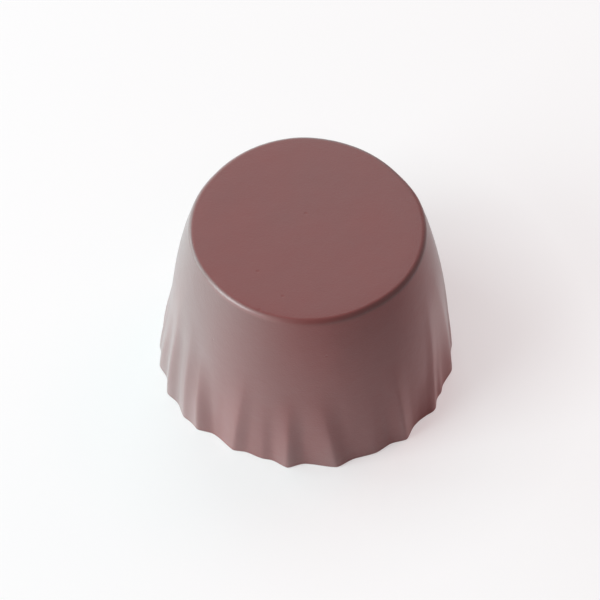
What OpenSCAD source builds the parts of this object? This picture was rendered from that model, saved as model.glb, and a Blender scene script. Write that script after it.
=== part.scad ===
// Pleated cupcake liner standing mouth down on its rim.
// A round, smooth-walled cup in one piece. Its flat base is uppermost, with a softly rounded edge.
// The wall bulges a little just under the base, then flares to the rim.
// Irregular pleats start part of the way down the wall and deepen towards the rim.
// Frame: Z up, the rim stands on z = 0, the cup's axis is x = y = 0, and -Y is the front.
// Angles are in degrees from +X, counter-clockwise seen from above.

/* [Size] */
// Height from the rim to the flat base, mm
height = 44.5; // [36:0.5:54]
// Diameter of the wall where the base's rounded edge starts, mm
base_d = 50; // [42:0.5:54]
// Diameter of the rim in the hollows between the pleats, mm
rim_d = 63.4; // [60:0.2:72]

/* [Wall] */
// Thickness of the wall, mm
wall_t = 1.4; // [1:0.1:2]
// Thickness of the base, mm
base_t = 1.6; // [1.2:0.1:2.4]
// Rounding of the base's outer edge, mm
edge_r = 1.3; // [1:0.1:2]
// Rounding inside, between the wall and the base, mm
inside_r = 0.8; // [0.5:0.1:1.2]
// Rounding of the rim's outer edge, mm
lip_r = 0.4; // [0.2:0.05:0.6]
// Share of the flare that is a plain cone, the rest bulges out under the base
cone_share = 0.55; // [0.4:0.05:1]
// How tightly the bulge under the base is rounded, higher is tighter
bulge_power = 3.5; // [2:0.5:4]
// How far the base departs from round, as a multiple of the reaches in the list
base_shape = 1; // [0:0.1:1.2]

/* [Pleats] */
// Depth of all the pleats, as a multiple of the depths in the list
pleat_depth = 1; // [0:0.05:1.2]
// How far all the pleats run up the wall, as a multiple of the list
pleat_run = 1; // [0.6:0.05:1.1]
// How long a pleat keeps its depth up the wall before it dies away, higher is longer
pleat_hold = 2; // [1:0.25:3]
// How rounded the crests of the pleats are, higher is rounder
crest_round = 1.4; // [1.25:0.05:2]

/* [Detail] */
// Facets around the cup
facets = 192; // [96:24:192]

/* [Hidden] */
// Each pleat: angle at the rim, reach mm (less than 0 for a hollow), half width before and after
// the crest in degrees, share of the wall it runs up, and how far its crest leans over that wall
pleats = [
    [1, 0.5, 7, 7, 0.6, 0],
    [11, 0.9, 9, 9, 0.9, 2],
    [26, 0.4, 7, 6, 0.5, 0],
    [38, 1.1, 8, 7, 0.7, -4],
    [49, 1.0, 7, 8, 0.6, 0],
    [61, 1.3, 8, 9, 0.7, 4],
    [75, 1.0, 9, 8, 0.7, 0],
    [86, 1.1, 8, 8, 0.75, -5],
    [98, 1.0, 8, 9, 0.7, 0],
    [112, 1.1, 9, 8, 0.8, 6],
    [124, 1.3, 8, 7, 0.6, 0],
    [135, 0.9, 7, 7, 0.6, 0],
    [147, 1.0, 7, 8, 0.7, -4],
    [159, 0.4, 6, 7, 0.45, 0],
    [170, 0.8, 7, 7, 0.45, 0],
    [180, 0.7, 6, 5, 0.4, 0],
    [190, 1.0, 12, 7, 0.45, 0],
    [203, 1.25, 8, 8, 0.7, -8],
    [215.5, 1.2, 9, 7, 0.75, -7],
    [223, 1.4, 8, 7, 0.55, -7],
    [240, 0.9, 9, 6, 0.65, 5],
    [252, 0.3, 7, 6, 0.45, 0],
    [262.5, 1.4, 8, 7, 0.55, 0],
    [281.5, 1.25, 12, 8, 0.6, -12],
    [298, 0.4, 9, 7, 0.5, 0],
    [311, 1.3, 7, 7, 0.65, -4],
    [321, -0.1, 7, 7, 0.4, 0],
    [327, 0.7, 8, 8, 0.3, 0],
    [329, 0.6, 5, 6, 0.85, 8],
    [336.5, 0.4, 5, 4, 0.35, 0],
    [348, 0.8, 8, 10, 0.9, 0],
];
// Broad swells under the pleats: angle, reach mm, half width before and after in degrees,
// share of the wall and lean, as for a pleat
swells = [
    [200, 1.0, 60, 30, 0.5, 0],
    [320, 0.7, 60, 60, 1, 0],
    [0, 0.4, 25, 60, 1, 0],
    [85, 0.8, 60, 60, 1.5, 0],
];
// Where the base departs from round: angle, outward reach mm (less than 0 where it is flattened),
// and half width before and after in degrees
base_swells = [
    [57, -0.4, 40, 40],
    [180, 0.35, 40, 40],
    [350, 0.6, 50, 50],
];

base_r = base_d / 2;
rim_r = rim_d / 2;
wall_rows = 11;
inner_rows = 8;
edge_rows = 3;
corner_rows = 2;
lip_rows = 2;
// The rows of the wall crowd together towards the rim, where the pleats are deepest
row_power = 1.2;
// How rounded the broad swells are, and how soon those of the base die away down the wall
swell_round = 3;
base_hold = 2;
// The skin dips this far under the rim plane and is then cut flat
dip = 0.6;

// Slope of the wall where it meets the base's rounded edge, so that the edge starts tangent to it
bulge_slope = cone_share + (1 - cone_share) * bulge_power;
edge_angle = atan((rim_r - base_r) * bulge_slope / (height - edge_r));
wall_h = height - edge_r * (1 - sin(edge_angle));

// A bump that is 1 at u = 0 and runs out smoothly to nothing at u = 1, higher powers are blunter
function bump(u, power) = pow(1 - pow(min(1, abs(u)), power), 2);

// Angle from one direction to another, between -180 and 180
function turn(from, to) = (to - from + 900) % 360 - 180;

// A bump across the wall at angle a, around a row's own angle
function across(p, centre, a, power) =
    let (off = turn(centre, a))
    bump(off / (off < 0 ? p[2] : p[3]), power);

// Outward reach of one pleat or swell at angle a and share t of the way up the wall
function pleat(p, a, t, power) =
    p[1] * across(p, p[0] + p[5] * t, a, power) * bump(t / (p[4] * pleat_run), pleat_hold);

// Outward reach of one swell of the base
function base_swell(p, a, t) = p[1] * across(p, p[0], a, swell_round) * pow(t, base_hold);

// Sum of a list of numbers
function total(list) = list * [for (v = list) 1];

// Radius of the plain wall at share t of the way up, with s counted down from the base
function plain_r(t) =
    let (s = 1 - t)
    base_r + (rim_r - base_r) * (cone_share * s + (1 - cone_share) * (1 - pow(t, bulge_power)));

// Radius of the outside of the wall at angle a and height z
function wall_r(a, z) =
    let (t = min(1, max(0, z / wall_h)))
    let (pleated = total([for (p = pleats) pleat(p, a, t, crest_round)]))
    let (swollen = total([for (p = swells) pleat(p, a, t, swell_round)]))
    let (at_base = total([for (p = base_swells) base_swell(p, a, t)]))
    plain_r(t) + pleat_depth * pleated + swollen + base_shape * at_base;

// One ring of the skin: the wall's radius at height z, drawn in by a distance, placed at its own level
function ring(z, drawn_in, level) = [
    for (i = [0 : facets - 1])
    let (a = 360 * i / facets)
    let (r = wall_r(a, z) - drawn_in)
    [r * cos(a), r * sin(a), level]
];

// Height of row i of a wall between two levels
function row_level(low, high, i, rows) = low + (high - low) * pow(i / rows, row_power);

inside_top = height - base_t;
outside = concat(
    [ring(0, lip_r, -dip)],
    [
        for (i = [0 : lip_rows - 1])
        let (b = 90 - 90 * i / lip_rows)
        ring(0, lip_r * (1 - cos(b)), lip_r * (1 - sin(b)))
    ],
    [
        for (i = [0 : wall_rows])
        let (z = row_level(lip_r, wall_h, i, wall_rows))
        ring(z, 0, z)
    ],
    [
        for (i = [1 : edge_rows])
        let (b = edge_angle + (90 - edge_angle) * i / edge_rows)
        ring(wall_h, edge_r * (cos(edge_angle) - cos(b)), height - edge_r * (1 - sin(b)))
    ]
);
inside = concat(
    [
        for (i = [0 : corner_rows - 1])
        let (b = 90 - 90 * i / corner_rows)
        ring(inside_top - inside_r, wall_t + inside_r * (1 - cos(b)), inside_top - inside_r * (1 - sin(b)))
    ],
    [
        for (i = [inner_rows : -1 : 0])
        let (z = row_level(0, inside_top - inside_r, i, inner_rows))
        ring(z, wall_t, z)
    ],
    [ring(0, wall_t, -dip)]
);
rings = concat(inside, outside);
last = len(rings) * facets;

// The skin's points: every ring from the inside of the base round the rim to the outside, then the two middles
skin_points = concat(
    [for (r = rings) each r],
    [[0, 0, inside_top], [0, 0, height]]
);
skin_faces = concat(
    [for (i = [0 : facets - 1]) [last, i, (i + 1) % facets]],
    [
        for (k = [0 : len(rings) - 2])
        for (i = [0 : facets - 1])
        let (j = (i + 1) % facets)
        let (here = k * facets)
        let (next = here + facets)
        each [[here + i, next + j, here + j], [here + i, next + i, next + j]]
    ],
    [for (i = [0 : facets - 1]) [last + 1, last - facets + (i + 1) % facets, last - facets + i]]
);

module liner() {
    color([0.52, 0.38, 0.37])
    intersection() {
        polyhedron(points = skin_points, faces = skin_faces, convexity = 6);
        // Everything under the rim plane is cut away, which leaves the rim flat
        translate([0, 0, height])
        cube([4 * rim_r, 4 * rim_r, 2 * height], center = true);
    }
}

liner();
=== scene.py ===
"""Pleated cupcake liner standing mouth down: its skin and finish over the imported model, and a studio."""
import math

import bpy
import numpy as np
from bpy.props import FloatProperty, FloatVectorProperty, IntProperty, PointerProperty
from bpy.types import Operator, Panel, PropertyGroup
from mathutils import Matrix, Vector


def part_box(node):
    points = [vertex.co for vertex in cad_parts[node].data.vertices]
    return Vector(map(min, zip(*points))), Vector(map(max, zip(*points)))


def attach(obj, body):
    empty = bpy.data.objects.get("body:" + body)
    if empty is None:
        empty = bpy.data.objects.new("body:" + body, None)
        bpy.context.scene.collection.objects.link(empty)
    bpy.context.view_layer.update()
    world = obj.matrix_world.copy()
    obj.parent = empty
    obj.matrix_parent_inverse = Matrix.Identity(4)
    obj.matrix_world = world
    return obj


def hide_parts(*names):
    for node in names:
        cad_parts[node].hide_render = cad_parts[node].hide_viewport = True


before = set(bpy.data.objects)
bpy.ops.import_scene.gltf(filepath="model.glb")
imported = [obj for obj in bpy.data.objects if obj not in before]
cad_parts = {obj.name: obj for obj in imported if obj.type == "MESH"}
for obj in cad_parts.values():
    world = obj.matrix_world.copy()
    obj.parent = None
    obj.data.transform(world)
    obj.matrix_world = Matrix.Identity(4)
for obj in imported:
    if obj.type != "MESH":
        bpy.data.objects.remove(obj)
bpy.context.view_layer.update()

bl_info = {
    "name": "Pleated cupcake liner",
    "version": (1, 0, 0),
    "blender": (4, 5, 0),
    "location": "3D View > Sidebar > Liner",
    "description": "Makes a pleated cupcake liner with a satin moulded finish, and a plain pale studio",
    "category": "Add Mesh",
}

MM = 0.001
LOW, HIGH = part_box("liner")

# Each lamp: name, azimuth in degrees from +X, elevation in degrees, side in metres, watts, colour.
# The lamps at the left and the back are cool and that at the right is warm, so that the light on the open
# floor is neutral and the shadow is pinkish.
LAMPS = [
    ("key_lamp", 205, 28, 0.5, 8.2, (0.83, 1.0, 1.0)),
    ("back_left_lamp", 160, 10, 0.5, 6.8, (0.77, 1.0, 1.0)),
    ("side_lamp", 185, 10, 0.5, 4.0, (0.5, 1.0, 0.98)),
    ("back_lamp", 90, 50, 0.5, 2.0, (0.6, 1.0, 1.0)),
    ("right_lamp", 40, 30, 0.5, 1.8, (1.0, 0.4, 0.39)),
]

# Each pleat: angle at the rim in degrees from +X, reach in millimetres, half width before and after the
# crest in degrees, share of the wall that it runs up, and lean of its crest over that wall in degrees
PLEATS = np.array([
    [1, 0.5, 7, 7, 0.6, 0],
    [11, 0.9, 9, 9, 0.9, 2],
    [26, 0.4, 7, 6, 0.5, 0],
    [38, 1.1, 8, 7, 0.7, -4],
    [49, 1.0, 7, 8, 0.6, 0],
    [61, 1.3, 8, 9, 0.7, 4],
    [75, 1.0, 9, 8, 0.7, 0],
    [86, 1.1, 8, 8, 0.75, -5],
    [98, 1.0, 8, 9, 0.7, 0],
    [112, 1.1, 9, 8, 0.8, 6],
    [124, 1.3, 8, 7, 0.6, 0],
    [135, 0.9, 7, 7, 0.6, 0],
    [147, 1.0, 7, 8, 0.7, -4],
    [159, 0.4, 6, 7, 0.45, 0],
    [170, 0.8, 7, 7, 0.45, 0],
    [180, 0.7, 6, 5, 0.4, 0],
    [190, 1.0, 12, 7, 0.45, 0],
    [203, 1.25, 8, 8, 0.7, -8],
    [215.5, 1.2, 9, 7, 0.75, -7],
    [223, 1.4, 8, 7, 0.55, -7],
    [240, 0.9, 9, 6, 0.65, 5],
    [252, 0.3, 7, 6, 0.45, 0],
    [262.5, 1.4, 8, 7, 0.55, 0],
    [281.5, 1.25, 12, 8, 0.6, -12],
    [298, 0.4, 9, 7, 0.5, 0],
    [311, 1.3, 7, 7, 0.65, -4],
    [321, -0.1, 7, 7, 0.4, 0],
    [327, 0.7, 8, 8, 0.3, 0],
    [329, 0.6, 5, 6, 0.85, 8],
    [336.5, 0.4, 5, 4, 0.35, 0],
    [348, 0.8, 8, 10, 0.9, 0],
])
# Broad swells under the pleats, in the same terms
SWELLS = np.array([
    [200, 1.0, 60, 30, 0.5, 0],
    [320, 0.7, 60, 60, 1, 0],
    [0, 0.4, 25, 60, 1, 0],
    [85, 0.8, 60, 60, 1.5, 0],
])
# Where the base departs from round: angle, outward reach in millimetres, half width before and after
BASE_SWELLS = np.array([
    [57, -0.4, 40, 40],
    [180, 0.35, 40, 40],
    [350, 0.6, 50, 50],
])
# How rounded the broad swells are, and how soon those of the base die away down the wall
SWELL_ROUND = 3
BASE_HOLD = 2

# Arcs round the skin, each with its angle, strength, and half width before and after in degrees.
# One arc of the base's rounded edge has a soft coat and a painted highlight, another a painted shade.
# Two patches half way up the wall carry painted sheen. Paler paint that stands in for sheen lies on some
# arcs towards the base and on one towards the rim.
EDGE_HIGHLIGHT_ARCS = np.array([[236, 1.0, 32, 30]])
EDGE_SHADE_ARCS = np.array([[322, 1.0, 64, 58]])
SHEEN_PATCH_ARCS = np.array([[345, 0.75, 17, 22], [190, 0.5, 18, 14]])
SHEEN_PAINT_ARCS = np.array([[80, 0.8, 65, 75], [190, 0.95, 70, 95]])
LOW_SHEEN_PAINT_ARCS = np.array([[198, 0.8, 36, 36]])
# Bands up the skin, each with its middle, half width and bluntness. The first two are measured in roundings
# of the edge below the flat base, and the third in shares of the height.
EDGE_HIGHLIGHT_BAND = (0.45, 0.6, 2)
EDGE_SHADE_BAND = (0.4, 0.8, 4)
SHEEN_PATCH_BAND = (0.5, 0.45, 2)
# How fast the masks of the edge and of the paler paint that stands in for sheen rise from nothing at the
# flat base, per rounding below it
MASK_RISE = 8
# How strongly the crests of the pleats carry a painted highlight
CREST_HIGHLIGHT = 0.6

# Steps of the skin's profile: across each flat end, round the corner inside, up the inside of the wall,
# round the rim's inner and outer edges, up the outside, and round the edge of the base
FLAT_ROWS = 7
CORNER_ROWS = 6
INNER_ROWS = 39
UNDER_ROWS = 3
LIP_ROWS = 6
OUTER_ROWS = 91
EDGE_ROWS = 12
# How tightly the rows of the wall crowd towards the rim, inside and outside
INNER_CROWD = 1.2
OUTER_CROWD = 1.15
# The rim's outer rounding is this many times its inner one
LIP_RATIO = 3

# Each layer laid over the skin's colour: its mask, its strength, and the factor and the addition per channel
LAYERS = (
    # Paler paint that stands in for sheen
    ("sheen_paint", 1.0, (0.9, 1.0, 1.0), (0.0, 0.06, 0.06)),
    # Painted highlight and painted sheen, paler
    ("highlight_and_polish", 0.6, (1.0, 1.0, 1.0), (0.06, 0.06, 0.06)),
    # Painted shade on the edge, darker
    ("edge_shade", 0.8, (0.35, 0.35, 0.35), (0.0, 0.0, 0.0)),
)
# Scales of the patterns on the skin: the drift of its tone, its slow waves and its grain
TONE_SCALE = 45.0
WAVE_SCALE = 110.0
GRAIN_SCALE = 2600.0
# How dark and how pale the tone drifts, and how much smoother and rougher the skin drifts
TONES = (0.95, 1.05)
GLOSS_DRIFT = (-0.03, 0.04)
# How much rougher the pits are
PIT_ROUGHNESS = 0.15
# The value of the mask of the painted highlight at which the soft coat starts, and the weight of the coat
# where that mask is full
COAT_START = 0.3
COAT_MOST = 0.7
# Slow drift: how much finer its second noise is, the share of that noise, and the range that is spread
DRIFT_RATIO = 4.3
DRIFT_FINER = 0.3
DRIFT_RANGE = (0.3, 0.7)
# Mould grain: scale of the pits' cells by that of the grain, radii between which a pit runs out, in cells,
# and the share of the cells that have no pit
CELL_RATIO = 0.08
PIT_RADII = (0.05, 0.1)
PITLESS = 0.78

# Scale and darkest tone of the floor's drift
FLOOR_SCALE = 3.0
FLOOR_SHADE = 0.99
# How far the floor lies below the rim, in metres, so that the two don't share a plane
FLOOR_DROP = 0.02 * MM


class LinerShape(PropertyGroup):
    """Sizes of the liner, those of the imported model."""

    height: FloatProperty(
        name="Height", description="From the rim to the flat base",
        default=HIGH.z - LOW.z, min=0.036, max=0.054, unit="LENGTH")
    base_diameter: FloatProperty(
        name="Base diameter", description="Where the rounded edge of the base starts",
        default=0.050, min=0.042, max=0.054, unit="LENGTH")
    rim_diameter: FloatProperty(
        name="Rim diameter", description="At the rim, in the hollows between the pleats",
        default=0.0634, min=0.060, max=0.072, unit="LENGTH")
    wall: FloatProperty(
        name="Wall", description="Thickness of the wall",
        default=0.0014, min=0.001, max=0.002, unit="LENGTH")
    base: FloatProperty(
        name="Base", description="Thickness of the base",
        default=0.0016, min=0.0012, max=0.0024, unit="LENGTH")
    edge: FloatProperty(
        name="Edge rounding", description="Radius of the outer edge of the base",
        default=0.0013, min=0.001, max=0.002, unit="LENGTH")
    corner: FloatProperty(
        name="Inside rounding", description="Radius inside, between the wall and the base",
        default=0.0008, min=0.0005, max=0.0012, unit="LENGTH")
    lip: FloatProperty(
        name="Rim rounding", description="Radius of the outer edge of the rim",
        default=0.0004, min=0.0002, max=0.0006, unit="LENGTH")
    cone_share: FloatProperty(
        name="Cone share", description="Share of the flare that is a plain cone, the rest is a bulge",
        default=0.55, min=0.4, max=1.0, subtype="FACTOR")
    bulge_power: FloatProperty(
        name="Bulge power", description="How tightly the bulge under the base is rounded",
        default=3.5, min=2.0, max=4.0)
    base_shape: FloatProperty(
        name="Base shape", description="Multiplies how far the base departs from round",
        default=1.0, min=0.0, max=1.2, subtype="FACTOR")
    pleat_depth: FloatProperty(
        name="Pleat depth", description="Multiplies the reach of every pleat",
        default=1.0, min=0.0, max=1.2, subtype="FACTOR")
    pleat_hold: FloatProperty(
        name="Pleat hold", description="How long a pleat keeps its depth up the wall before it dies away",
        default=2.0, min=1.0, max=3.0)
    crest_round: FloatProperty(
        name="Crest rounding", description="How rounded the crests of the pleats are",
        default=1.4, min=1.25, max=2.0)
    columns: IntProperty(
        name="Columns", description="Steps of the skin around the liner",
        default=480, min=96, max=520)


class LinerFinish(PropertyGroup):
    """Colour and gloss of the moulded skin."""

    colour: FloatVectorProperty(
        name="Colour", description="Colour of the moulded skin",
        default=(0.195, 0.033, 0.031), min=0.0, max=1.0, subtype="COLOR")
    roughness: FloatProperty(
        name="Roughness", description="Roughness of the outside",
        default=0.4, min=0.1, max=0.9, subtype="FACTOR")
    inside_roughness: FloatProperty(
        name="Inside roughness", description="Roughness of the inside, which is duller",
        default=0.55, min=0.1, max=0.9, subtype="FACTOR")
    grain_depth: FloatProperty(
        name="Grain depth", description="Depth of the fine grain left by the mould",
        default=0.00003, min=0.0, max=0.0002, unit="LENGTH", precision=6)
    wave_depth: FloatProperty(
        name="Wave depth", description="Depth of the slow unevenness of the skin",
        default=0.00004, min=0.0, max=0.0005, unit="LENGTH", precision=6)


class Studio(PropertyGroup):
    """The plain studio: floor, lamps and camera."""

    floor_colour: FloatVectorProperty(
        name="Floor", description="Colour of the floor",
        default=(0.975, 0.95, 0.955), min=0.0, max=1.0, subtype="COLOR")
    floor_size: FloatProperty(
        name="Floor size", description="Side of the square floor",
        default=6.0, min=1.0, max=20.0, unit="LENGTH")
    fill: FloatProperty(
        name="Fill", description="Strength of the even light from all round",
        default=0.13, min=0.0, max=2.0)
    fill_colour: FloatVectorProperty(
        name="Fill colour", description="Colour of the even light from all round",
        default=(1.0, 0.2, 0.2), min=0.0, max=1.0, subtype="COLOR")
    lamp_power: FloatProperty(
        name="Lamps", description="Multiplies the power of every lamp",
        default=1.0, min=0.0, max=10.0)
    lamp_distance: FloatProperty(
        name="Lamp distance", description="From the middle of the liner to each lamp",
        default=0.9, min=0.3, max=3.0, unit="LENGTH")
    lift: FloatProperty(
        name="Lift", description="Share of plain white that the camera sees in the floor beside the liner",
        default=0.5, min=0.0, max=1.0, subtype="FACTOR")
    middle_lift: FloatProperty(
        name="Middle lift", description="Share of plain white at the middle distance",
        default=0.76, min=0.0, max=1.0, subtype="FACTOR")
    near: FloatProperty(
        name="Near", description="Distance on the floor from which the lift grows",
        default=0.034, min=0.01, max=0.1, unit="LENGTH")
    middle: FloatProperty(
        name="Middle", description="Distance on the floor at which the middle lift is reached",
        default=0.066, min=0.02, max=0.5, unit="LENGTH")
    far: FloatProperty(
        name="Far", description="Distance on the floor from which the camera sees plain white",
        default=0.9, min=0.2, max=3.0, unit="LENGTH")
    camera_distance: FloatProperty(
        name="Camera distance", description="From the middle of the liner to the camera",
        default=0.57195, min=0.2, max=2.0, unit="LENGTH")
    camera_height: FloatProperty(
        name="Camera elevation", description="Angle of the camera above the horizon",
        default=math.radians(54.11), min=0.0, max=math.radians(89), subtype="ANGLE")
    camera_lens: FloatProperty(
        name="Lens", description="Focal length on a 36 mm sensor, in millimetres",
        default=156.0, min=20.0, max=300.0)
    camera_shift: FloatVectorProperty(
        name="Shift", description="Sideways and upward shift of the frame, as shares of its width",
        size=2, default=(-0.0115, -0.0201), min=-0.2, max=0.2)


def bump(u, power):
    """A bump that is 1 at u = 0 and runs out smoothly to nothing at u = 1: (1 - |u| ^ power) squared."""
    return (1 - np.minimum(1, np.abs(u)) ** power) ** 2


def band(value, middle, half, power):
    """A bump over a band, by the distance of a value from its middle as a share of its half width."""
    return bump((value - middle) / half, power)


def turn(start, end):
    """Angle in degrees from one direction to another, between -180 and 180."""
    return (end - start + 900) % 360 - 180


def across(rows, centre, angle, blunt):
    """A bump across the wall around each row's centre, by the row's half width on either side of it."""
    before, after = rows[:, 2, None, None], rows[:, 3, None, None]
    off = turn(centre, angle)
    return bump(off / np.where(off < 0, before, after), blunt)


def arcs(rows, angle):
    """Strength of the arcs together at an angle: each row's strength times a bump across its half width."""
    return (rows[:, 1, None, None] * across(rows, rows[:, 0, None, None], angle, SWELL_ROUND)).sum(axis=0)


def reach(rows, angle, share, blunt, hold):
    """Outward reach of all the rows together, in metres.

    Each row's reach, times a bump across its own half width, times a bump up the share of the wall
    that it runs. Its crest turns with the share of the wall by the row's lean.
    """
    centre, depth, run, lean = (rows[:, k, None, None] for k in (0, 1, 4, 5))
    wide = across(rows, centre + lean * share, angle, blunt)
    return MM * (depth * wide * bump(share / run, hold)).sum(axis=0)


def wall_height(shape):
    """Height at which the wall runs into the rounded edge, and the angle in radians where that edge starts.

    There both have the same slope: the flare times the slope of its formula, over the height below the edge.
    """
    slope = shape.cone_share + (1 - shape.cone_share) * shape.bulge_power
    flare = (shape.rim_diameter - shape.base_diameter) / 2
    start = math.atan(flare * slope / (shape.height - shape.edge))
    return shape.height - shape.edge * (1 - math.sin(start)), start


def wall_radius(shape, angle, height):
    """Radius of the outside of the wall at an angle in degrees and a height.

    A cone and a bulge that tightens under the base, plus the pleats, the broad swells, and the swells
    of the base times a power of the share of the wall.
    """
    top, _ = wall_height(shape)
    share = np.clip(height / top, 0, 1)
    base, rim = shape.base_diameter / 2, shape.rim_diameter / 2
    cone = shape.cone_share * (1 - share)
    bulge = (1 - shape.cone_share) * (1 - share ** shape.bulge_power)
    pleats = reach(PLEATS, angle, share, shape.crest_round, shape.pleat_hold)
    swells = reach(SWELLS, angle, share, SWELL_ROUND, shape.pleat_hold)
    based = MM * arcs(BASE_SWELLS, angle) * share ** BASE_HOLD
    radius = base + (rim - base) * (cone + bulge) + shape.pleat_depth * pleats + swells
    return radius + shape.base_shape * based, pleats


def rows_of(read, drawn_in, level, share):
    """Rows of the profile as four columns; each value is one number or an array as long as the others."""
    columns = np.broadcast_arrays(*(np.atleast_1d(value) for value in (read, drawn_in, level, share)))
    return np.stack(columns, axis=1).astype(float)


def quarter(start, end, count):
    """Angles in radians from start to end in count even steps, without the start itself."""
    return np.linspace(start, end, count + 1)[1:]


def profile(shape):
    """Rows of the skin, from the middle of the inside of the base round the rim to the middle of the base.

    A row holds the height at which the wall's radius is read, how far the row is drawn in from it, the
    row's own level, and the share of that radius that it keeps. The rows crowd towards the rim.
    """
    top, start = wall_height(shape)
    ceiling = shape.height - shape.base
    inner_top = ceiling - shape.corner
    inner_lip = shape.lip / LIP_RATIO
    down = np.linspace(1, 0, INNER_ROWS + 1)[1:] ** INNER_CROWD * (inner_top - inner_lip) + inner_lip
    up = np.linspace(0, 1, OUTER_ROWS + 1)[1:] ** OUTER_CROWD * (top - shape.lip) + shape.lip
    out = np.linspace(0, 1, FLAT_ROWS + 2)[1:-1]
    corner = quarter(math.pi / 2, 0, CORNER_ROWS)
    under = quarter(0, math.pi / 2, UNDER_ROWS)
    lip = quarter(math.pi / 2, 0, LIP_ROWS)
    edge = quarter(start, math.pi / 2, EDGE_ROWS)
    inside_corner = shape.wall + shape.corner * (1 - np.cos(corner))
    over_edge = shape.edge * (math.cos(start) - np.cos(edge))
    inside = [
        rows_of(inner_top, shape.wall + shape.corner, ceiling, out),
        rows_of(inner_top, shape.wall + shape.corner, ceiling, 1),
        rows_of(inner_top, inside_corner, inner_top + shape.corner * np.sin(corner), 1),
        rows_of(down, shape.wall, down, 1),
    ]
    outside = [
        rows_of(0, shape.wall - inner_lip * (1 - np.cos(under)), inner_lip * (1 - np.sin(under)), 1),
        rows_of(0, shape.lip, 0, 1),
        rows_of(0, shape.lip * (1 - np.cos(lip)), shape.lip * (1 - np.sin(lip)), 1),
        rows_of(up, 0, up, 1),
        rows_of(top, over_edge, shape.height - shape.edge * (1 - np.sin(edge)), 1),
        rows_of(top, shape.edge * math.cos(start), shape.height, 1 - out),
    ]
    return np.concatenate(inside), np.concatenate(outside)


def finish_masks(shape, angle, level, pleats):
    """Masks of the finish at an angle in degrees and a level, each between 0 and 1.

    Highlight and polish is a band times an arc on the edge of the base, a painted highlight; another arc
    half way up the wall, painted sheen; and the pleats' reach as a share of the greatest, a painted
    highlight on the crests. Edge shade is a band times an arc on the edge, a painted shade. Sheen paint is
    paler paint that stands
    in for sheen: the share of the height times its arcs, plus what is left of that share times the low arcs.
    """
    below = (shape.height - level) / shape.edge
    off_flat = np.clip(MASK_RISE * below, 0, 1)
    up_wall = level / shape.height
    crest = np.clip(pleats / MM / PLEATS[:, 1].max(), 0, 1)
    # Painted highlight on the edge and on the crests, and painted sheen half way up the wall
    edge_highlight = band(below, *EDGE_HIGHLIGHT_BAND) * off_flat * arcs(EDGE_HIGHLIGHT_ARCS, angle)
    sheen_patches = band(up_wall, *SHEEN_PATCH_BAND) * arcs(SHEEN_PATCH_ARCS, angle)
    # Paler paint that stands in for sheen
    sheen_paint = up_wall * arcs(SHEEN_PAINT_ARCS, angle) + (1 - up_wall) * arcs(LOW_SHEEN_PAINT_ARCS, angle)
    masks = {
        "highlight_and_polish": edge_highlight + CREST_HIGHLIGHT * crest + sheen_patches,
        # Painted shade on the edge
        "edge_shade": band(below, *EDGE_SHADE_BAND) * off_flat * arcs(EDGE_SHADE_ARCS, angle),
        "sheen_paint": off_flat * sheen_paint,
    }
    return {name: np.clip(mask, 0, 1) for name, mask in masks.items()}


def liner_skin(shape):
    """Points, quads and triangles of the closed skin, with the masks of its points and each face's side.

    Point (row, column) stands at the column's angle, at the radius of the wall read at the row's height,
    drawn in and shared as the row says, and at the row's level. One point closes the skin at each end.
    A face's side is 1 inside and 0 outside.
    """
    inside, outside = profile(shape)
    rows = np.concatenate([inside, outside])
    angle = np.arange(shape.columns)[None, :] * 360 / shape.columns
    read, drawn_in, level, share = (rows[:, k, None] for k in range(4))
    radius, pleats = wall_radius(shape, angle, read)
    radius = (radius - drawn_in) * share
    turned = np.radians(angle)
    grid = (radius * np.cos(turned), radius * np.sin(turned), np.broadcast_to(level, radius.shape))
    poles = [[0, 0, shape.height - shape.base], [0, 0, shape.height]]
    points = np.vstack([np.stack(grid, axis=-1).reshape(-1, 3), poles])
    index = np.arange(radius.size).reshape(radius.shape)
    beside = np.roll(index, -1, axis=1)
    quads = np.stack([index[:-1], beside[:-1], beside[1:], index[1:]], axis=-1).reshape(-1, 4)
    first = np.stack([np.full(shape.columns, radius.size), beside[0], index[0]], axis=-1)
    final = np.stack([np.full(shape.columns, radius.size + 1), index[-1], beside[-1]], axis=-1)
    masks = finish_masks(shape, angle, level, pleats)
    masks = {name: np.append(mask, [0, 0]) for name, mask in masks.items()}
    side = np.zeros(len(quads) + 2 * shape.columns, int)
    side[:(len(inside) - 1) * shape.columns] = 1
    side[len(quads):len(quads) + shape.columns] = 1
    return points, quads, np.vstack([first, final]), masks, side


def linked_object(name, data):
    """An object of that name at the origin of the scene, in place of an older one."""
    old = bpy.data.objects.get(name)
    if old is not None:
        bpy.data.objects.remove(old)
    made = bpy.data.objects.new(name, data)
    bpy.context.scene.collection.objects.link(made)
    return made


def new_object(name, points, quads, triangles=None):
    """A mesh object of that name at the origin, its mesh filled from whole arrays."""
    triangles = np.zeros((0, 3), int) if triangles is None else triangles
    corners = np.concatenate([quads.ravel(), triangles.ravel()])
    starts = np.concatenate([4 * np.arange(len(quads)), quads.size + 3 * np.arange(len(triangles))])
    mesh = bpy.data.meshes.new(name)
    mesh.vertices.add(len(points))
    mesh.vertices.foreach_set("co", np.asarray(points, float).ravel())
    mesh.loops.add(len(corners))
    mesh.loops.foreach_set("vertex_index", corners)
    mesh.polygons.add(len(starts))
    mesh.polygons.foreach_set("loop_start", starts)
    mesh.update(calc_edges=True)
    mesh.validate()
    mesh.shade_smooth()
    return linked_object(name, mesh)


def empty_tree(owner):
    """The node tree of a material or a world, emptied."""
    owner.use_nodes = True
    owner.node_tree.nodes.clear()
    return owner.node_tree


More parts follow.
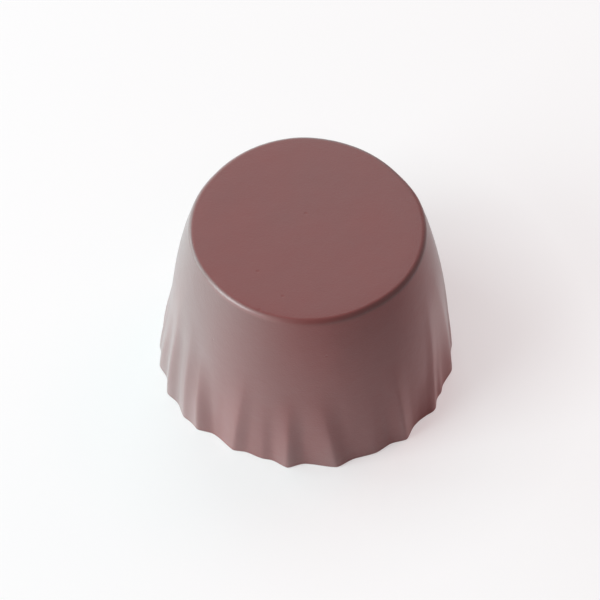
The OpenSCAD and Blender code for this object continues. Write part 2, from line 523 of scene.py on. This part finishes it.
def node(tree, kind, place, inputs=(), **settings):
    """A shader node at a place, with its settings, and its inputs set to values or linked to sockets."""
    made = tree.nodes.new(kind)
    made.location = place
    for key, value in settings.items():
        setattr(made, key, value)
    for key, value in dict(inputs).items():
        if isinstance(value, bpy.types.NodeSocket):
            tree.links.new(value, made.inputs[key])
        else:
            made.inputs[key].default_value = value
    return made


def maths(tree, place, operation, *values):
    """The result of one sum on values or sockets."""
    return node(tree, "ShaderNodeMath", place, dict(enumerate(values)), operation=operation).outputs[0]


def blend(tree, place, factor, first, second):
    """The colour between two colours or sockets, at a factor."""
    inputs = {"Factor": factor, "A": first, "B": second}
    return node(tree, "ShaderNodeMix", place, inputs, data_type="RGBA").outputs["Result"]


def group_once(name, inputs, outputs, fill):
    """The shader node group of that name, made and filled the first time that it is asked for."""
    group = bpy.data.node_groups.get(name)
    if group is not None:
        return group
    group = bpy.data.node_groups.new(name, "ShaderNodeTree")
    for label, kind, default in inputs:
        socket = group.interface.new_socket(name=label, in_out="INPUT", socket_type=kind)
        if default is not None:
            socket.default_value = default
    for label, kind in outputs:
        group.interface.new_socket(name=label, in_out="OUTPUT", socket_type=kind)
    start = node(group, "NodeGroupInput", (-900, 0))
    end = node(group, "NodeGroupOutput", (700, 0))
    for label, socket in fill(group, start.outputs).items():
        group.links.new(socket, end.inputs[label])
    return group


def fill_drift(tree, given):
    """Two soft noises of different size, mixed and spread to a value from 0 to 1."""
    broad = node(tree, "ShaderNodeTexNoise", (-500, 120),
                 {"Vector": given["Vector"], "Scale": given["Scale"], "Detail": 2.0})
    scale = maths(tree, (-700, -160), "MULTIPLY", given["Scale"], DRIFT_RATIO)
    finer = node(tree, "ShaderNodeTexNoise", (-500, -120),
                 {"Vector": given["Vector"], "Scale": scale, "Detail": 3.0})
    both = node(tree, "ShaderNodeMix", (-200, 0),
                {"Factor": DRIFT_FINER, "A": broad.outputs["Fac"], "B": finer.outputs["Fac"]},
                data_type="FLOAT")
    low, high = DRIFT_RANGE
    spread = node(tree, "ShaderNodeMapRange", (100, 0),
                  {"Value": both.outputs["Result"], "From Min": low, "From Max": high})
    return {"Value": spread.outputs["Result"]}


def fill_grain(tree, given):
    """A very fine noise less a few small round pits, as a height, and the pits alone as a mask."""
    fine = node(tree, "ShaderNodeTexNoise", (-500, 200),
                {"Vector": given["Vector"], "Scale": given["Scale"], "Detail": 2.0})
    scale = maths(tree, (-700, -200), "MULTIPLY", given["Scale"], CELL_RATIO)
    cells = node(tree, "ShaderNodeTexVoronoi", (-500, -160),
                 {"Vector": given["Vector"], "Scale": scale, "Randomness": 1.0})
    near, far = PIT_RADII
    dot = node(tree, "ShaderNodeMapRange", (-260, -160),
               {"Value": cells.outputs["Distance"], "From Min": near, "From Max": far,
                "To Min": 1.0, "To Max": 0.0}, interpolation_type="SMOOTHSTEP")
    apart = node(tree, "ShaderNodeSeparateColor", (-260, -420), {"Color": cells.outputs["Color"]})
    few = maths(tree, (-60, -420), "GREATER_THAN", apart.outputs[0], PITLESS)
    some = maths(tree, (120, -240), "MULTIPLY", dot.outputs["Result"], few)
    pits = maths(tree, (300, -240), "MULTIPLY", some, given["Pits"])
    height = maths(tree, (480, 120), "SUBTRACT", fine.outputs["Fac"], pits)
    return {"Height": height, "Pit": pits}


def drift_group():
    """Slow drift over a surface, as a value from 0 to 1."""
    inputs = [("Vector", "NodeSocketVector", None), ("Scale", "NodeSocketFloat", 60.0)]
    return group_once("Slow drift", inputs, [("Value", "NodeSocketFloat")], fill_drift)


def grain_group():
    """Grain left by a mould, as a height and a mask of its pits."""
    inputs = [("Vector", "NodeSocketVector", None), ("Scale", "NodeSocketFloat", 2500.0),
              ("Pits", "NodeSocketFloat", 1.0)]
    outputs = [("Height", "NodeSocketFloat"), ("Pit", "NodeSocketFloat")]
    return group_once("Mould grain", inputs, outputs, fill_grain)


def moulded(name, finish, roughness, drift, grain):
    """The moulded skin: a satin plastic whose colour and gloss drift a little, with fine grain and pits.

    The layers are laid over its colour by their masks: paler paint that stands in for sheen, a painted
    highlight and painted sheen, which are paler, and a painted shade on the edge, which is darker. The mask
    of the painted highlight also carries a soft coat.
    """
    material = bpy.data.materials.get(name) or bpy.data.materials.new(name)
    tree = empty_tree(material)
    place = node(tree, "ShaderNodeTexCoord", (-1400, 0)).outputs["Object"]
    patterns = ((drift, TONE_SCALE), (drift, WAVE_SCALE), (grain, GRAIN_SCALE))
    slow, wave, fine = (
        node(tree, "ShaderNodeGroup", (-1150, 250 - 250 * step), {"Vector": place, "Scale": scale},
             node_tree=group)
        for step, (group, scale) in enumerate(patterns))
    dark, pale = ((*(tone * channel for channel in finish.colour), 1) for tone in TONES)
    paint = blend(tree, (-800, 400), slow.outputs["Value"], dark, pale)
    drawn = {}
    # The layers lay painted sheen, painted highlights and a painted shade over the colour
    for step, (mask, most, factors, additions) in enumerate(LAYERS):
        level = -500 - 200 * step
        drawn[mask] = node(tree, "ShaderNodeAttribute", (-1400, level), attribute_name=mask).outputs["Fac"]
        share = maths(tree, (-1150, level), "MULTIPLY", drawn[mask], most)
        colour = (factor * c + more for c, factor, more in zip(finish.colour, factors, additions))
        paint = blend(tree, (-600 + 200 * step, 500), share, paint, (*colour, 1))
    coat = node(tree, "ShaderNodeMapRange", (-500, -500),
                {"Value": drawn["highlight_and_polish"], "From Min": COAT_START, "To Min": 0.0, "To Max": COAT_MOST})
    smoother, rougher = (roughness + change for change in GLOSS_DRIFT)
    gloss = node(tree, "ShaderNodeMapRange", (-800, 100),
                 {"Value": slow.outputs["Value"], "To Min": smoother, "To Max": rougher})
    dull = maths(tree, (-500, 100), "MULTIPLY_ADD",
                 fine.outputs["Pit"], PIT_ROUGHNESS, gloss.outputs["Result"])
    waves = node(tree, "ShaderNodeBump", (-500, -100),
                 {"Distance": finish.wave_depth, "Height": wave.outputs["Value"], "Strength": 1.0})
    grains = node(tree, "ShaderNodeBump", (-250, -200),
                  {"Distance": finish.grain_depth, "Height": fine.outputs["Height"], "Strength": 1.0,
                   "Normal": waves.outputs["Normal"]})
    skin = node(tree, "ShaderNodeBsdfPrincipled", (0, 200),
                {"Base Color": paint, "Roughness": dull, "IOR": 1.46,
                 "Specular IOR Level": 0.3, "Normal": grains.outputs["Normal"],
                 "Sheen Weight": 0.7, "Sheen Roughness": 0.5,
                 "Coat Weight": coat.outputs["Result"], "Coat Roughness": 0.3})
    node(tree, "ShaderNodeOutputMaterial", (320, 200), {"Surface": skin.outputs[0]})
    return material


def sight_rays(tree, place):
    """1 where the camera, a reflection or a clear material looks at the surface, else 0."""
    across_by, up_by = place
    path = node(tree, "ShaderNodeLightPath", place)
    seen = maths(tree, (across_by + 220, up_by), "MAXIMUM",
                 path.outputs["Is Camera Ray"], path.outputs["Is Glossy Ray"])
    return maths(tree, (across_by + 420, up_by), "MAXIMUM", seen, path.outputs["Is Transmission Ray"])


def paper_white(studio):
    """The floor's colour, brightened until its strongest channel is 1."""
    return tuple(channel / max(studio.floor_colour) for channel in studio.floor_colour)


def floor_finish(studio, drift):
    """The floor: a plain matt sheet whose tone drifts by a hair, with its shadow lightened to the eye.

    The eye sees a share of paper white in place of the sheet's own shading. The share grows from the lift
    to the middle lift between the near and the middle distance, and on to 1 at the far distance, so that
    the floor runs into the surroundings without a line.
    """
    material = bpy.data.materials.get("floor_sheet") or bpy.data.materials.new("floor_sheet")
    tree = empty_tree(material)
    place = node(tree, "ShaderNodeTexCoord", (-900, 0)).outputs["Object"]
    slow = node(tree, "ShaderNodeGroup", (-700, 0), {"Vector": place, "Scale": FLOOR_SCALE}, node_tree=drift)
    shade = (FLOOR_SHADE * channel for channel in studio.floor_colour)
    paint = blend(tree, (-400, 0), slow.outputs["Value"], (*studio.floor_colour, 1), (*shade, 1))
    sheet = node(tree, "ShaderNodeBsdfDiffuse", (-100, 0), {"Color": paint})
    white = node(tree, "ShaderNodeEmission", (-100, -160),
                 {"Color": (*paper_white(studio), 1), "Strength": 1.0})
    away = node(tree, "ShaderNodeVectorMath", (-700, -200), {0: place}, operation="LENGTH").outputs["Value"]
    close = node(tree, "ShaderNodeMapRange", (-500, -200),
                 {"Value": away, "From Min": studio.near, "From Max": studio.middle,
                  "To Min": studio.lift, "To Max": studio.middle_lift})
    out = node(tree, "ShaderNodeMapRange", (-500, -450),
               {"Value": away, "From Min": studio.middle, "From Max": studio.far},
               interpolation_type="SMOOTHSTEP")
    lift = node(tree, "ShaderNodeMix", (-300, -300),
                {"Factor": out.outputs["Result"], "A": close.outputs["Result"], "B": 1.0}, data_type="FLOAT")
    share = maths(tree, (-100, 200), "MULTIPLY", sight_rays(tree, (-700, 300)), lift.outputs["Result"])
    lifted = node(tree, "ShaderNodeMixShader", (150, 0),
                  {0: share, 1: sheet.outputs[0], 2: white.outputs[0]})
    node(tree, "ShaderNodeOutputMaterial", (370, 0), {"Surface": lifted.outputs[0]})
    return material


def lamp(name, direction, distance, aim):
    """A square area lamp at a distance from the aim in a direction from it, facing the aim.

    The direction is an azimuth from +X and an elevation, both in degrees.
    """
    light = bpy.data.lights.new(name, "AREA")
    light.shape = "SQUARE"
    azimuth, elevation = (math.radians(angle) for angle in direction)
    level = math.cos(elevation)
    offset = np.array([math.cos(azimuth) * level, math.sin(azimuth) * level, math.sin(elevation)])
    made = linked_object(name, light)
    made.location = aim + distance * offset
    made.rotation_euler = (math.pi / 2 - elevation, 0, azimuth + math.pi / 2)
    return made


def surroundings(studio):
    """The world: an even warm fill, and paper white wherever the camera or a reflection sees it."""
    world = bpy.data.worlds.get("surroundings") or bpy.data.worlds.new("surroundings")
    bpy.context.scene.world = world
    tree = empty_tree(world)
    sight = sight_rays(tree, (-900, 200))
    strength = node(tree, "ShaderNodeMapRange", (-250, 200),
                    {"Value": sight, "To Min": studio.fill, "To Max": 1.0})
    tint = blend(tree, (-250, -100), sight, (*studio.fill_colour, 1), (*paper_white(studio), 1))
    light = node(tree, "ShaderNodeBackground", (0, 0),
                 {"Color": tint, "Strength": strength.outputs["Result"]})
    node(tree, "ShaderNodeOutputWorld", (250, 0), {"Surface": light.outputs[0]})


def place_camera(studio, aim):
    """The camera in front, its middle ray through the aim, with the picture's small shift."""
    data = bpy.data.cameras.new("camera")
    data.lens = studio.camera_lens
    data.shift_x, data.shift_y = studio.camera_shift
    camera = linked_object("camera", data)
    up = studio.camera_height
    camera.location = aim + studio.camera_distance * np.array([0, -math.cos(up), math.sin(up)])
    camera.rotation_euler = (math.pi / 2 - up, 0, 0)
    bpy.context.scene.camera = camera


class LINER_OT_skin(Operator):
    """Make the liner's skin and its finish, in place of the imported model's plain one"""

    bl_idname = "liner.skin"
    bl_label = "Make the liner"

    def execute(self, context):
        shape, finish = context.scene.liner_shape, context.scene.liner_finish
        points, quads, triangles, masks, side = liner_skin(shape)
        skin = new_object("liner_skin", points, quads, triangles)
        for name, mask in masks.items():
            skin.data.attributes.new(name, "FLOAT", "POINT").data.foreach_set("value", mask)
        drift, grain = drift_group(), grain_group()
        skin.data.materials.append(moulded("liner_outside", finish, finish.roughness, drift, grain))
        skin.data.materials.append(moulded("liner_inside", finish, finish.inside_roughness, drift, grain))
        skin.data.polygons.foreach_set("material_index", side)
        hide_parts("liner")
        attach(skin, "root")
        return {"FINISHED"}


class LINER_OT_stage(Operator):
    """Make the floor, the lamps, the surroundings and the camera"""

    bl_idname = "liner.stage"
    bl_label = "Make the studio"

    def execute(self, context):
        studio, shape = context.scene.liner_studio, context.scene.liner_shape
        square = studio.floor_size / 2 * np.array([[-1, -1, 0], [1, -1, 0], [1, 1, 0], [-1, 1, 0]])
        floor = new_object("floor", square - [0, 0, FLOOR_DROP], np.array([[0, 1, 2, 3]]))
        floor.data.materials.append(floor_finish(studio, drift_group()))
        aim = np.array([0, 0, shape.height / 2])
        for name, azimuth, elevation, side, power, colour in LAMPS:
            light = lamp(name, (azimuth, elevation), studio.lamp_distance, aim)
            light.data.size = side
            light.data.energy = power * studio.lamp_power
            light.data.color = colour
        surroundings(studio)
        place_camera(studio, aim)
        context.scene.view_settings.view_transform = "Standard"
        return {"FINISHED"}


class LINER_PT_sidebar(Panel):
    """Sizes, finish and studio of the liner"""

    bl_label = "Pleated cupcake liner"
    bl_space_type = "VIEW_3D"
    bl_region_type = "UI"
    bl_category = "Liner"

    def draw(self, context):
        groups = {"liner_shape": None, "liner_finish": "liner.skin", "liner_studio": "liner.stage"}
        for group, operator in groups.items():
            settings = getattr(context.scene, group)
            box = self.layout.box()
            for name in settings.__annotations__:
                box.prop(settings, name)
            if operator:
                box.operator(operator)


CLASSES = (LinerShape, LinerFinish, Studio, LINER_OT_skin, LINER_OT_stage, LINER_PT_sidebar)


def register():
    for each in CLASSES:
        bpy.utils.register_class(each)
    bpy.types.Scene.liner_shape = PointerProperty(type=LinerShape)
    bpy.types.Scene.liner_finish = PointerProperty(type=LinerFinish)
    bpy.types.Scene.liner_studio = PointerProperty(type=Studio)


def unregister():
    for name in ("liner_studio", "liner_finish", "liner_shape"):
        delattr(bpy.types.Scene, name)
    for each in reversed(CLASSES):
        bpy.utils.unregister_class(each)


def main():
    """Register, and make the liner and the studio."""
    register()
    bpy.ops.liner.skin()
    bpy.ops.liner.stage()


if __name__ == "__main__":
    main()
